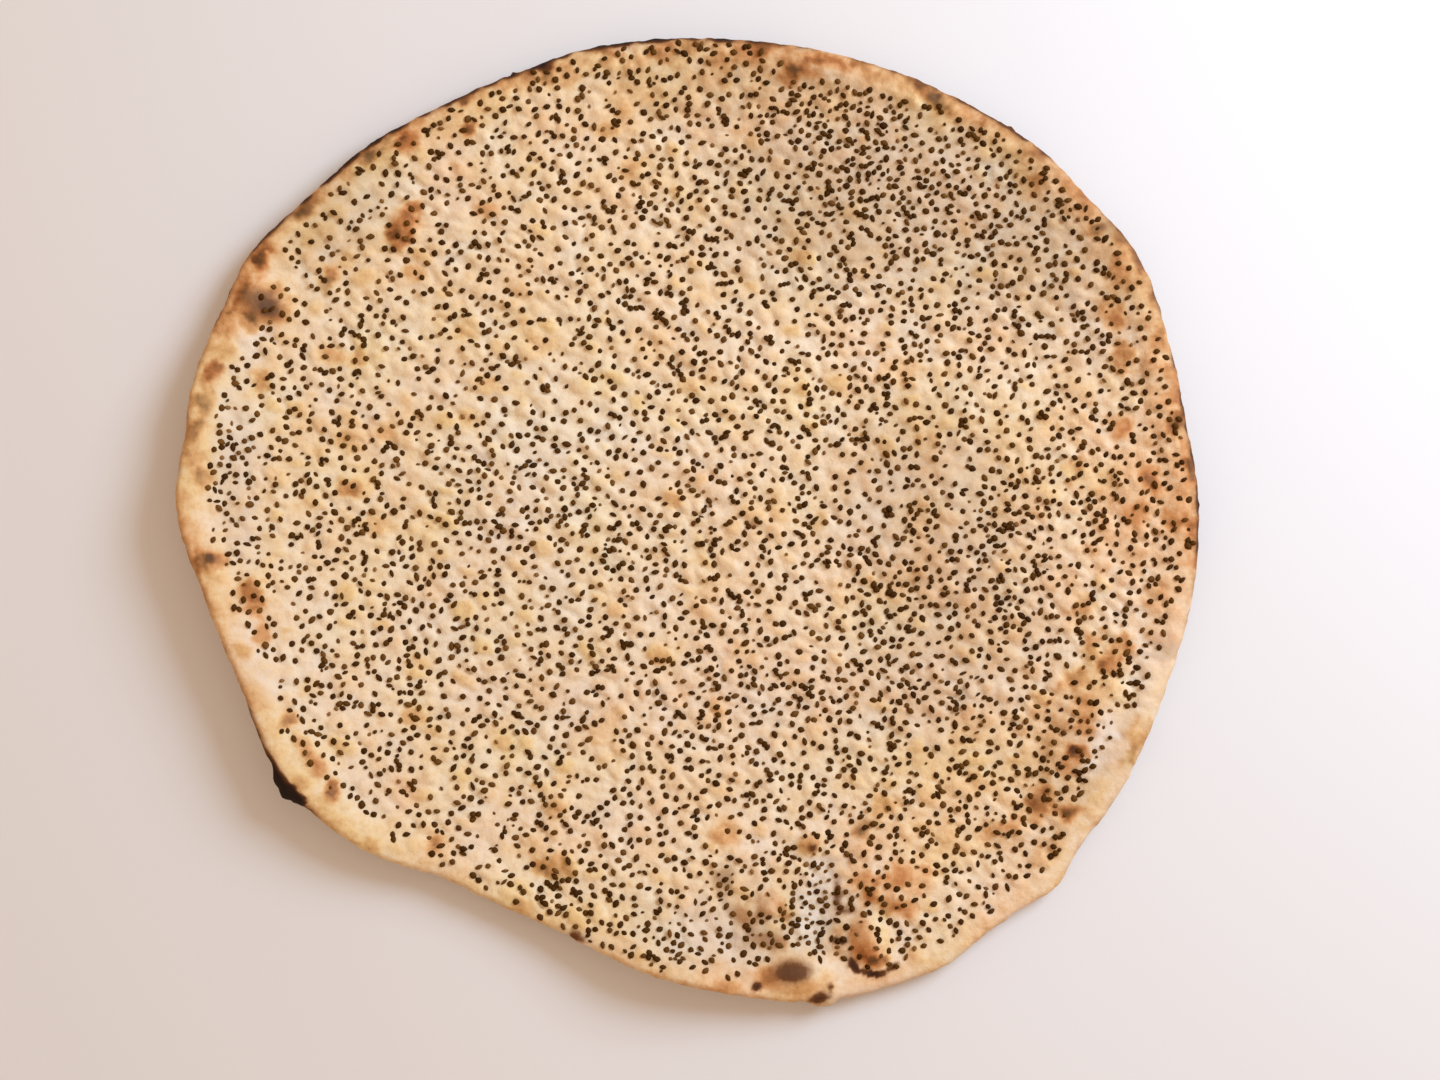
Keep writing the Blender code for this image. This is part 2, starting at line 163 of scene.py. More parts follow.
# Toasted marks as (x, y, half length, half width, turn, how much darker, how much more olive gold
# or, below 0, more orange).
# Most are toast. Those at (141, 13.4), (-38.5, -117.3), (-30.7, 50.5), (86.9, -42.6) and (88, -36),
# light and golden, are painted highlights on bumps that face the light.
TOASTED_AND_HIGHLIGHTED = (
    # the rim and the crust beside it, from the right anticlockwise
    (153.4, 11.8, 5.6, 3.6, 95, 0.45, -0.9), (141, 13.4, 8, 7, 0, -0.06, 0.7),
    (129.1, 14.4, 4.5, 4, 0, 0.31, 0.4), (144.1, 29.4, 4.6, 4.4, 0, 0.31, -0.1),
    (162.6, 29, 5.2, 3.4, 100, 0.43, 0.6), (167, 14, 4, 1.6, 100, 0.36, 0.6),
    (155.5, 52, 8, 4, 110, 0.15, 0), (145.9, 53, 5, 4, 110, 0.41, 0.3),
    (142.7, 66, 6.5, 4.4, 95, 0.46, 0.2), (145, 81.8, 4.6, 3.8, 100, 0.16, -0.3),
    (140.3, 96.2, 4, 3, 130, -0.08, 0.2), (136, 95.2, 3.4, 3, 0, 0.49, 0.6),
    (114.5, 109.5, 9, 4.4, 112, 0.19, 0.1), (116, 120.5, 5, 4, 140, 0.06, 0),
    (104.5, 129, 6, 4, 140, 0.10, 0), (99, 133.5, 9, 3.6, 146, -0.08, 0),
    (84.3, 139, 5, 3.2, 150, 0.26, 0.2), (79.2, 142.6, 5.4, 3.4, 150, 0.34, -0.4),
    (45.5, 153.5, 8, 3, 163, 0.34, -0.6), (42, 148.5, 5, 2.2, 160, 0.24, -0.2),
    (34, 148.8, 4.4, 3.4, 120, 0.34, 0.2), (21.7, 157.2, 5.4, 3.2, 0, 0.10, -0.5),
    (10.5, 153.9, 5, 4, 0, 0.30, 0.2), (-10.5, 156.8, 4.6, 4.2, 0, 0.17, -0.5),
    (-17.3, 152.8, 4, 3.5, 0, 0.24, -0.1), (-25.5, 153.8, 5, 4, 0, 0.15, 0),
    (-31, 157.6, 5, 2, 11, 0.33, 0.2), (-44.4, 148, 7, 4, 15, 0.11, -0.1),
    (-49.5, 150.9, 3.4, 2.4, 18, 0.14, 0.2), (-76.2, 140.6, 3.2, 2.4, 25, 0.48, 0.1),
    (-74.9, 130.3, 3.4, 3, 30, 0.60, -0.4), (-84, 131, 20, 6, 32, 0.06, 0.2),
    (-98.8, 129.6, 3.5, 2.6, 30, 0.22, -0.3), (-97, 125.4, 4.6, 3.8, 30, 0.38, -0.9),
    (-102, 126, 4, 2.6, 33, 0.18, 0.5), (-109.8, 120.6, 4.5, 3, 35, 0.38, 0),
    (-117, 116, 5, 3, 45, 0.13, 0), (-129.3, 102.8, 6, 3.2, 48, 0.41, 0),
    (-144.4, 85.5, 5.8, 3.6, 75, 0.53, -0.6), (-150.5, 76, 8, 2.4, 70, 0.24, -0.2),
    (-144.4, 79, 3.6, 2.4, 40, -0.02, -0.6), (-140.1, 75.5, 3.4, 3, 0, 0.25, -0.1),
    (-143, 69.8, 9.5, 6.8, 165, 0.49, -0.1), (-154, 63, 6, 4, 65, 0.20, 0),
    (-156.5, 54.5, 6, 4.5, 70, 0.12, 0.2), (-159.8, 47, 4.2, 3.2, 70, 0.38, -0.9),
    (-144.8, 44, 3.6, 4.6, 0, 0.38, 0.1), (-161.5, 36.5, 4.5, 3.5, 90, 0.35, 0.2),
    (-164.8, 26, 5, 3.5, 90, 0.28, 0), (-164, 16.5, 4, 3.5, 90, 0.17, -0.2),
    (-161.3, -16.6, 4.4, 3.8, 100, 0.43, -0.1), (-145, -27, 5.5, 4.6, 110, 0.50, 0),
    (-141.7, -40.6, 5, 3, 90, 0.35, 0), (-142, -64, 6.5, 3, 112, 0.10, 0.2),
    (-132.5, -69, 3.4, 3, 110, 0.51, 0.1), (-126.1, -59.4, 4.6, 4, 20, 0.16, 0.4),
    (-127.5, -77.5, 7, 2.8, 124, 0.28, -0.3), (-122.3, -84.5, 5, 2.8, 122, 0.32, -0.5),
    (-118.3, -92.6, 3.6, 3.2, 120, 0.60, -0.6), (-93, -92.5, 8, 7, 0, 0.11, -0.4),
    (-84.5, -110.6, 3.6, 2.8, 30, 0.46, 0.1), (-54.5, -130.6, 4, 2.4, 150, 0.23, 0),
    (-49.8, -118.5, 3.5, 3, 0, 0.36, 0.3), (-43.8, -117.4, 5.5, 5, 0, 0.21, 0.1),
    (-38.5, -117.3, 5, 4.5, 150, 0.02, 0.4),
    # the front, with its bubbles
    (11.5, -107.5, 5.5, 5, 60, 0.30, 0.1), (10.5, -122.3, 5, 5, 0, 0.12, 0),
    (18.1, -135.4, 4.6, 7, 0, 0.26, 0), (25, -142.5, 7, 3.2, 170, 0.39, 0),
    (25.6, -130.5, 5.4, 4.8, 60, 0.08, -0.7), (23.9, -134, 3.4, 2, 0, 0.00, -1),
    (31, -133.5, 2, 4.4, 10, 0.40, -0.2), (40.6, -110.8, 4.4, 4.2, 0, 0.29, 0.1),
    (39.8, -106.5, 4.5, 3.5, 0, -0.02, -0.3), (33, -152.4, 12, 7.2, 2, 0.11, 0.1),
    (25.8, -154.2, 4, 4.2, 100, 0.29, 0.1), (39.5, -157.5, 8, 3.2, 5, 0.21, 0),
    (48.9, -142.5, 5.6, 2.6, 95, 0.26, 0), (58.8, -142.2, 8, 4, 109, 0.27, -0.1),
    (54.8, -144.5, 6, 2.1, 104, 0.30, -0.1), (58.3, -145.5, 4.5, 3, 100, 0.16, -0.1),
    (61.5, -149, 4.8, 2.2, 0, 0.49, 0.4), (62.5, -135.5, 5, 3.6, 100, 0.05, 0.7),
    (64.2, -142.6, 6.5, 3.6, 109, 0.19, 0.6), (58, -124.5, 5.5, 6, 80, 0.28, 0.1),
    (59, -127.8, 3.4, 3, 0, 0.18, 0), (73, -121.5, 9, 5.6, 10, 0.21, -0.2),
    (69.5, -121, 3.4, 5.5, 80, 0.19, 0.1), (65.6, -131.6, 3.6, 3.4, 0, 0.30, 0.6),
    (71.3, -131.6, 4.6, 3.8, 0, 0.29, 0), (81.3, -119, 4, 3, 0, 0.17, -0.1),
    (64.2, -98.3, 4.6, 4, 0, 0.29, 0.5), (57.1, -106.2, 3, 3, 0, 0.43, 0.6),
    # the lower right, where a toasted band runs along the welt
    (94.9, -91, 5, 4.6, 0, 0.15, 0), (98.1, -106.4, 4, 3.6, 0, 0.12, 0),
    (104.7, -105.6, 5.5, 4, 10, 0.20, -0.1), (119.2, -113.8, 7, 4.2, 30, 0.17, 0.1),
    (116.4, -97.4, 6.5, 4.8, 70, 0.46, 0.1), (126.6, -100.6, 3.8, 4, 60, 0.55, 0),
    (124.1, -84.3, 5.5, 4, 40, 0.18, -0.3), (128.2, -79.6, 4, 3.2, 160, 0.46, -0.2),
    (133, -80, 2.6, 2.2, 0, 0.02, 0.2), (133.8, -73.5, 2.8, 3.4, 80, 0.12, 0.2),
    (130, -71, 3.8, 3.2, 0, 0.19, -0.3), (131.6, -66, 4, 4.4, 80, 0.22, 0.1),
    (128.6, -56, 5, 3.8, 20, 0.34, 0.3), (139.9, -50.8, 4.2, 3.4, 0, 0.34, -0.2),
    (143.3, -44.4, 5, 4, 65, 0.37, 0.2), (132.8, -31, 4.4, 3.8, 40, 0.15, 0.4),
    (157.9, -46.1, 3.4, 2.6, 0, 0.00, 0.1), (154.9, -27.8, 5, 4.4, 60, 0.09, 0.5),
    (149.2, -74, 7, 4, 65, 0.13, 0.3), (145.6, -82, 4, 2.2, 60, 0.20, 0.6),
    (137.4, -92, 7, 2, 52, 0.08, 0.2), (149.2, -0.3, 5.6, 4.6, 15, 0.22, -0.4),
    (160.1, -2.8, 4.2, 3, 130, 0.28, 0.9), (167.6, -6, 10, 3, 92, 0.22, 0),
    # spots further in
    (-97, 98.5, 9.5, 5, 68, 0.46, -0.5), (-95.3, 103, 4, 3.5, 0, 0.18, -0.2),
    (-99.4, 92.5, 3.6, 3.2, 0, 0.29, -0.2), (-121.9, 81.3, 3.4, 3, 0, 0.48, 0),
    (-123.6, 77.5, 3, 3, 0, 0.36, 0.5), (-115.3, 86.4, 4.5, 3.5, 0, 0.09, 0.2),
    (-121.4, 53.5, 5.5, 3.5, 160, 0.28, 0), (-112.4, 52.2, 3.5, 3, 0, 0.40, -0.1),
    (-117, 25, 3, 3.6, 90, 0.24, 0.2), (-102.7, 27.3, 4.2, 3.4, 60, 0.29, 0.2),
    (-115.5, 8.4, 3.6, 4.4, 100, 0.38, -0.4), (-105, -3.7, 6, 4.5, 20, 0.19, 0.2),
    (-93.3, 81.9, 4, 3.5, 0, 0.26, 0.1), (-69.4, 103.5, 4, 3.5, 0, 0.22, -0.2),
    (-74.6, 32.3, 4.5, 4, 0, 0.25, 0.1), (-50, 57.2, 5, 4, 20, 0.12, -0.2),
    (-76.2, 62.1, 5, 4, 10, 0.18, 0.1), (-69.2, 43.6, 5.5, 4, 160, 0.26, 0),
    (-30.7, 50.5, 4.5, 3, 150, 0.00, 0.8), (-19.7, 118, 5, 4, 30, 0.26, 0.1),
    (-6.3, 4.5, 4.5, 3.5, 0, 0.26, 0.1), (43.5, -2.3, 3.5, 3, 0, 0.24, 0.2),
    (-92.5, -68.7, 4.4, 4, 10, 0.33, 0), (-45.1, -99.6, 4, 3.6, 60, 0.20, 0.2),
    (-42.5, -90, 5, 4.4, 0, 0.14, -0.2), (86.9, -42.6, 4.5, 3.5, 0, 0.02, 0.5),
    (88, -36, 5, 4, 30, -0.06, 0.2), (104, 27, 6, 4, 100, 0.06, 0), (70, 48.8, 9, 6, 0, 0.22, 0),
    (-109, 10.5, 6, 6, 0, 0.16, 0.2), (135.7, -45.4, 5.5, 5, 0, 0.22, 0),
    (-148.1, 63.3, 4, 3.5, 0, 0.34, 0.2), (-156.9, -16.5, 4, 3.5, 0, 0.42, -0.2),
    (-144.8, -32.7, 4, 3.5, 0, 0.25, -0.1), (150.7, 84.5, 5, 2.5, 110, 0.33, -0.1),
    (-161.5, 11.1, 4, 3.5, 90, 0.34, 0), (-30, 45, 8, 6, 0, 0.08, 0.6),
    (-24, 158, 5, 2.6, 170, -0.14, -0.5),
    # broad areas
    (-115, 35, 45, 60, 20, 0.02, 0), (150, 5, 22, 34, 0, 0.13, -1.1),
    (137, 92, 34, 12, 118, 0.05, 0), (0, 140, 80, 14, 0, 0.09, 0), (95, -90, 50, 30, 40, 0.07, 0),
    (124, -80, 36, 14, 62, 0.09, -0.1), (-44, 21, 34, 30, 0, -0.09, 0.2),
    (95, 0, 45, 60, 0, 0.04, 0), (-70, -10, 70, 80, 0, -0.03, 0),
)

# Scorched marks, past brown, as (x, y, half length, half width, turn, how black), and painted
# shade in the crease by the torn bubble.
SCORCHED_AND_SHADED = (
    (-142.4, 69, 5.2, 3.8, 160, 0.48), (-129.8, 103.4, 4, 1.8, 48, 0.06),
    (-76.2, 140.8, 2.4, 1.6, 25, 0.16), (-49.5, 150.8, 2.4, 1.6, 18, 0.54),
    (117.6, 121, 2.6, 1.6, 130, 0.15), (162.8, 29.2, 3, 2, 100, 0.24),
    (127.4, -79.2, 2, 1.8, 0, 0.66), (40.8, -112, 2.2, 2, 0, 0.56),
    (-134.2, -91.6, 8.5, 3.1, 138, 1.30), (-139.5, -80.5, 6, 1.6, 118, 0.05),
    (-36.9, -140.6, 3.8, 1.8, 155, 0.42),
    # the bubbles at the front: the smooth one's singed top, its nub, and two specks
    (33.6, -152.1, 7.5, 4.2, 2, 0.57), (37.6, -150.6, 3.4, 1.9, 2, -0.05),
    (43, -160.8, 3.6, 2.2, 8, 0.60), (22, -156.6, 2.1, 1.6, 20, 0.75),
    (46.2, -157.3, 1.3, 1.2, 0, 0.50),
    # the torn one's burnt lower lip, then painted shade in the crease above it and at its left side
    (54.3, -150.5, 2.8, 1.5, 130, 0.80), (58.3, -152.8, 3.8, 1.4, 168, 0.67),
    (62.6, -153.2, 3.4, 1.4, 5, 0.62), (66.6, -151, 3.4, 1.2, 31, 0.58),
    (48.9, -127.5, 6, 1.6, 90, 0.40), (51.5, -132.5, 3, 1.4, 0, 0.40),
    (48.8, -142.4, 3.6, 1.6, 175, 1.00),
)

# Floury, pale patches, in the same form. Along the lower right welt, at (137, -76.5), (150, -50)
# and (152, -62), they are flour and painted light on its outer slope, which faces the light.
FLOURED_AND_LIT = (
    (-141, -48, 16, 7, 108, 0.60), (-153, 27, 22, 7, 98, 0.60), (-147, -9, 11, 8, 90, 0.50),
    (41.5, -128.5, 17, 8, 80, 0.95), (137, -76.5, 12, 4.8, 65, 0.85), (150, -50, 12, 5, 72, 0.30),
    (-146, 57, 10, 7, 60, 0.50), (-120, 64, 16, 8, 20, 0.12), (-108, -92, 18, 6, 145, 0.30),
    (5, -139, 22, 9, 5, 0.40), (-60, -30, 30, 14, 150, 0.15), (95, 118, 14, 6, 150, 0.30),
    (-104, 106, 14, 8, 40, 0.25), (152, -62, 32, 6, 68, 0.35), (66, -160, 26, 4.5, 12, 0.75),
    (60, 60, 26, 12, 160, 0.12),
)

# Duller, greyer crust, in the same form: greyer under the thickest seeds, and painted shade where
# the crust turns away from the light, over the top and the right and on the rim's edge at (146, -82).
DULLED_AND_SHADED = (
    (70, 108, 75, 38, 155, 0.75), (128, 85, 50, 22, 118, 0.45), (80, 5, 34, 40, 20, 0.65),
    (30, 95, 30, 26, 0, 0.30), (-118, 103, 26, 16, 45, 0.60), (10, 150, 50, 14, 0, 0.40),
    (85, -50, 44, 30, 30, 0.45), (15, -140, 40, 16, 0, 0.50), (45, -130, 16, 12, 80, 0.50),
    (-152, 14, 26, 8, 95, 0.35), (128, -85, 26, 18, 60, 0.40), (-60, -140, 34, 10, 155, 0.30),
    (114.5, 109.5, 12, 6, 112, 0.40), (18, -135, 9, 10, 0, 0.40), (140, 96, 5, 4, 130, 0.50),
    (158, -46, 5, 4, 0, 0.50), (146, -82, 5, 3, 60, 0.50),
)

# Smoky, greyer places on browned crust, in the same form.
SMOKED = (
    (-143.8, 70.4, 6.8, 4.8, 160, 0.42), (34.2, -151.2, 8, 4.4, 2, 0.07),
    (10.5, -122.3, 5, 5, 0, 0.50), (48.5, -143.5, 4.5, 4, 95, 0.25), (24, -142, 8, 4, 170, 0.45),
    (57.1, -106.2, 3, 3, 0, 0.35), (17, -135, 5, 6, 0, 0.20), (140, 96.2, 4, 3, 130, 0.25),
    (158, -46, 4, 3, 0, 0.22), (-123.6, 77.5, 3, 3, 0, 0.25),
)

# Where the crust is more golden (above 0) and where rosier (below), in the same form.
GILDED = (
    (92, 128, 48, 9, 142, 0.40), (134, 13, 15, 15, 0, 0.45), (-160, 40, 30, 7, 80, 0.25),
    (-36, -115, 34, 14, 160, 0.10), (70, 110, 70, 34, 155, -0.30), (60, -45, 80, 40, 20, -0.22),
    (112, -25, 24, 26, 0, -0.25), (45, -135, 60, 22, 0, -0.25), (-140, -50, 16, 30, 20, -0.20),
    (-115, -100, 34, 9, 142, 0.30), (148, -72, 16, 7, 64, -0.20), (0, -70, 40, 30, 0, -0.15),
)

# Where the crust is drawn smooth over a bubble, in the same form.
SMOOTHED = (
    (34, -152.3, 15, 10, 4, 0.85), (60.2, -142.8, 12, 8, 109, 0.45), (-144, 71, 13, 9, 170, 0.75),
)

# Browning of the rim, as (bearing, how much darker). It is full as far in as RIM_TOAST_FULL, and
# fades out over about twice its reach.
RIM_TOAST = (
    (0, 0.21), (10, 0.22), (20, 0.29), (30, 0.28), (40, 0.22), (50, 0.27), (60, 0.28), (70, 0.27),
    (76, 0.24), (82, 0.38), (90, 0.24), (100, 0.12), (106, 0.22), (111, 0.32), (118, 0.14),
    (126, 0.20), (135, 0.21), (142, 0.22), (150, 0.28), (158, 0.23), (166, 0.24), (175, 0.18),
    (186, 0.26), (195, 0.16), (205, 0.10), (212, 0.12), (220, 0.19), (230, 0.06), (240, 0.03),
    (250, 0.18), (257, 0.08), (264, 0.14), (275, 0.10), (281, 0.17), (287, 0.08), (293, 0.09),
    (300, 0.13), (306, 0.06), (312, 0.03), (320, 0.07), (330, 0.08), (340, 0.11), (350, 0.15),
    (356, 0.23),
)
RIM_TOAST_FULL = 1.0
RIM_TOAST_REACH = 7.0

# Charring along the very edge, in the same form.
EDGE_CHAR = (
    (0, 0.48), (10, 0.50), (20, 0.35), (28, 0.30), (40, 0.22), (46, 0.50), (58, 0.45), (66, 0.40),
    (76, 0.28), (86, 0.85), (93, 0.95), (99, 0.75), (105, 1.00), (112, 1.00), (120, 0.50),
    (130, 1.15), (146, 0.50), (158, 0.22), (170, 0.18), (190, 0.20), (205, 0.20), (214, 0.60),
    (222, 0.12), (230, 0.08), (250, 0.08), (280, 0.10), (300, 0.10), (325, 0.14), (345, 0.10),
)
EDGE_CHAR_REACH = 1.7
EDGE_CHAR_PATCHES = ((1.1, 7.0, 53.0), (0.9, 17.0, 79.0), (0.6, 3.0, 83.0))

# Charred lumps that stand out of the edge: (bearing, half angle, how far out).
EDGE_LUMPS = ((214.5, 2.6, 3.4), (285.2, 1.6, 1.8), (111.9, 0.35, 1.2), (50.3, 0.4, 1.0))

# -------- seeds

SEED_COUNT = 5880
SEED_LENGTH = 2.5
SEED_WIDTH = 2.05
SEED_THICKNESS = 0.85 * SEED_WIDTH
SEED_SPREAD = 0.15  # how much seeds differ in size
SEED_LUMPS = (0.92, 1.08)  # how far a seed's own points stray from its shape
SEED_TILT = 0.15
SEED_LIFT = (0.15, 0.12)  # how high seeds stand in their dents: mean, spread
SEED_GAPS = (1.8, 3.3)  # a falling seed keeps at least this far from the others
SEED_TOUCHING = 1.45  # the distance between two seeds that lie against each other
SEED_STEPS = (1.0, 1.4)  # how far apart they are laid, as a share of that
SEED_CLUMP_SHARE = 0.10  # how many seeds have others lying against them
SMALL_SEED_SHARE = 0.20  # shrivelled seeds, and those half covered by dough or by flour
SMALL_SEED_SIZE = (0.5, 0.85)
SMALL_SEEDS_IN_FLOUR = 0.5  # how many more of them there are in flour
DUST_SPREAD = 0.75  # how brown and dusty seeds are: 0 is the blackest, 1 the dustiest
DUST_ON_SMALL = 0.25
DUST_TREND = -0.08  # from the middle to the right
DUST_LOST_IN_HEAPS = 0.6
SEED_SIDES = 5
SEED_RINGS = ((0.22, 0.72), (0.52, 1.0), (0.82, 0.66))  # (place along the seed, width)
SEED_DRAW = 20
SEED_TRIES = 90000
SEED_FIELD = 1.03  # the half width of the square they fall in, as a share of HALF_WIDTH
SEED_BUSIEST = 0.995  # where seeds lie thicker than on this share of the bread, every try counts
SEED_GAP_POWER = 0.4  # how much closer to each other they lie where they are thick
SEED_WAVES = ((0.35, 14.0, 11.0),)
SEEDS_IN_CREASES = 0.5  # how much thicker they lie in the creases than on the tops
SEEDS_IN_TROUGHS = 0.35  # how much thicker they lie in a ripple's trough
SEED_EDGE_GAP = 2.0  # a seed laid against another stays this far from the edge
HEAP_TRIES = 60  # for each heap

# Where seeds lie thicker or thinner: (x, y, half length, half width, turn, share more or less).
SEED_PATCHES = (
    (62, 121, 42, 24, 155, 1.00), (108, 4, 17, 15, 0, 0.60), (88, -22, 26, 18, 0, 0.40),
    (8.5, -59.7, 20, 15, 0, 0.45), (-155.4, 12.5, 23, 4, 97, 4.20), (42, -131, 14, 7.5, 85, 1.60),
    (-35, 3, 20, 14, 0, 0.35), (-105, 55, 34, 30, 0, -0.28), (-70, 70, 26, 26, 0, -0.26),
    (15, -130, 18, 14, 0, 0.80), (0, 75, 20, 14, 150, -0.15), (-105, -55, 22, 16, 130, 0.25),
    (118, 70, 26, 34, 0, -0.12), (-90, 95, 22, 18, 0, -0.20), (82.4, -22.2, 6, 5, 0, -0.80),
    (-26.6, -68.7, 4.5, 4.5, 0, -0.80), (0, -34.3, 5, 5, 0, -0.80),
    (-74.7, -70, 4.5, 4.5, 0, -0.80), (-14.8, 8.9, 7, 6, 0, -0.75), (25.5, -130, 5, 5, 0, -0.85),
    (-43, -129, 15, 6, 155, 0.90), (-12, -143, 18, 7, 170, 0.40), (104, -95, 14, 11, 0, 0.40),
    (-98, 96, 7, 6, 0, -0.40),
)

# Where seeds lie heaped in a dark patch, as (x, y, half length, half width, turn).
SEED_CLUMPS = (
    (-10.5, 67, 4.2, 2.6, 130), (-26.5, -52.5, 3.2, 2.4, 150), (-26, 132.5, 3.1, 2.4, 60),
    (11, 134.5, 4.6, 2, 120), (72.5, -38.5, 4, 2, 164), (7, 93.5, 4, 1.8, 163),
    (-7.5, 75.5, 3.3, 1.9, 94), (3.5, -69, 4, 1.9, 83), (25.5, -144, 4, 1.9, 167),
    (92, 30.5, 2.9, 2.3, 101), (-3, -22, 3.5, 2, 147), (54.5, 93.5, 3.1, 1.9, 109),
    (5, 32.5, 3, 2, 57), (66.3, 40.6, 2.9, 2, 123), (48.5, -126, 2.8, 1.8, 43),
    (-43, -68.5, 3.1, 1.7, 177), (12.5, 95.5, 2.8, 1.8, 143), (39, -59.5, 4, 1.7, 134),
    (29.5, -54, 3, 1.8, 135), (11.5, 78.5, 3.8, 1.6, 6), (30, 137, 4.2, 1.6, 166),
    (-51, -90, 2.8, 1.8, 108), (-7, 50.5, 2.4, 1.9, 145), (45.5, -17, 2.6, 2.1, 88),
    (22.5, 37.5, 2.4, 2, 10), (104, -22.5, 2.5, 2.1, 74), (4, 113, 2.9, 1.8, 177),
    (-35.5, 13, 3, 1.8, 103), (35, 51.5, 2.9, 1.7, 4), (-45.5, -33, 2.6, 1.7, 162),
    (41.5, -2.5, 2.4, 1.9, 55), (-27, -4.5, 2.4, 1.9, 155), (54, 14, 2.4, 1.8, 55),
    (6, -45.5, 2.8, 1.7, 169), (76, 32, 3.3, 1.5, 11), (97.5, 48, 3.2, 1.5, 92),
    (9, 67, 3, 1.7, 133), (70.5, -57, 2.7, 1.7, 57), (-18.5, 70, 4, 1.4, 5),
    (116, -18.5, 3.8, 1.3, 112), (-6.5, 91, 2.4, 1.8, 8), (24.5, -77.5, 2.8, 1.6, 139),
    (-74.5, -18, 2.2, 1.8, 63), (49, 89.5, 2.2, 1.7, 115), (40, 39, 3, 1.7, 87),
    (-152.5, 22.5, 2.4, 1.7, 61), (28.5, 73, 2.1, 1.7, 19), (107, -16.5, 2, 1.7, 45),
    (-85, 131.6, 3.1, 1.7, 86), (-89.5, 129, 2.4, 1.9, 125), (130, -41, 4.2, 1.8, 110),
    (122.5, -42.8, 3.2, 1.5, 5), (18, 116.2, 3.4, 2.2, 20), (-48.7, -128.7, 3.5, 2, 150),
    (-45, -124.2, 4.2, 1.9, 165), (6.5, 84, 2.8, 2.2, 0), (-13, -146.5, 3.6, 2.2, 165),
    (107.5, -4, 3.6, 2.2, 0), (-27.5, 64.5, 3.2, 2, 140), (-21.5, -44, 3.6, 2.2, 0),
    (52, 71, 3.2, 2, 0), (32, 78, 3.2, 2, 0), (54.3, 126.5, 2.8, 2.2, 0), (34.3, -143.6, 2.6, 2, 0),
    (-37.8, -126.4, 3.6, 2.2, 160), (-86.4, 121.5, 3.6, 2, 30), (49.3, -142.4, 3.8, 1.9, 172),
)
SEED_CLUMP_EDGE = 1.1  # how far inside the dark patch's outline its seeds' middles lie
SEED_HEAPING = 1.28  # the distance between two seeds of a clump
SEED_TREND = 0.07  # the right-hand side has this much more, and the left this much less

# The seedless band along the rim, as (bearing, width), and how blurred its inner edge is.
SEED_MARGIN_BLUR = 2.0
SEED_MARGIN_LEVEL = 0.6  # how far the seeds have come in where that band ends
SEED_MARGINS = (
    (0, 3), (20, 3.5), (40, 4), (50, 5.5), (62, 6.5), (68, 10), (74, 9.5), (79, 7), (84, 3),
    (100, 2.5), (120, 4), (135, 5), (148, 8), (158, 14), (168, 10.5), (180, 11), (190, 9),
    (200, 10.5), (212, 10), (222, 11), (232, 7), (240, 2.5), (255, 2.5), (268, 4.5), (276, 7),
    (283, 17), (290, 8), (300, 5), (308, 6.5), (317, 6), (328, 12), (338, 8), (350, 6),
)


# -------- reading curves, noise and marks

def round_rim(stations, bearings):
    """The smooth closed curve through (bearing, value) stations, read at an array of bearings."""
    places, values = np.array(stations, float).T
    places = np.concatenate((places[-2:] - 360.0, places, places[:3] + 360.0))
    values = np.concatenate((values[-2:], values, values[:3]))
    bearings = np.mod(bearings, 360.0)
    i = np.searchsorted(places, bearings, side="right") - 1
    span = places[i + 1] - places[i]
    share = (bearings - places[i]) / span
    slope_in = (values[i + 1] - values[i - 1]) / (places[i + 1] - places[i - 1]) * span
    slope_out = (values[i + 2] - values[i]) / (places[i + 2] - places[i]) * span
    bend = share * share * (3.0 - 2.0 * share)
    return (
        values[i] + (values[i + 1] - values[i]) * bend
        + slope_in * share * (1.0 - share) ** 2
        - slope_out * share * share * (1.0 - share)
    )


def edge_radius(bearings):
    return HALF_WIDTH * round_rim(EDGE_RADII, bearings)


def inset_at(x, y):
    """How far in from the edge each place lies, and its bearing."""
    bearing = np.degrees(np.arctan2(y, x))
    return edge_radius(bearing) - np.hypot(x, y), bearing


def waves(x, y, size, layer=0.0):
    """Smooth noise from -1 to 1, with swellings about size across. Each layer has its own pattern."""
    return np.array([noise.noise((u, v, layer)) for u, v in zip(x / size, y / size)])


def layered(x, y, layers):
    """The sum of a list of waves, each (strength, size, layer)."""
    return sum(strength * waves(x, y, size, layer) for strength, size, layer in layers)


def eased(share):
    """0 at a share of 0 and below, 1 at 1 and above, and a smooth step between."""
    share = np.clip(share, 0.0, 1.0)
    return share * share * (3.0 - 2.0 * share)


def turned(x, y, mark):
    """Places as shares of a mark's half length and half width."""
    angle = math.radians(mark[4])
    dx, dy = x - mark[0], y - mark[1]
    along = dx * math.cos(angle) + dy * math.sin(angle)
    across = dy * math.cos(angle) - dx * math.sin(angle)
    return along / mark[2], across / mark[3]


def within(mark, along, across):
    """The place that lies these shares of a mark's half length and half width from its middle."""
    angle = math.radians(mark[4])
    along, across = along * mark[2], across * mark[3]
    return (
        mark[0] + along * math.cos(angle) - across * math.sin(angle),
        mark[1] + along * math.sin(angle) + across * math.cos(angle),
    )


def marks_at(x, y, marks, ragged, column=5):
    """The sum of a list of marks at each place, for the value that each mark holds at column.
    Ragged shifts their outlines, in shares of their size."""
    total = np.zeros_like(x)
    for mark in marks:
        along, across = turned(x, y, mark)
        total += mark[column] * eased(MARK_REACH - np.hypot(along, across) + ragged)
    return total


# -------- heights

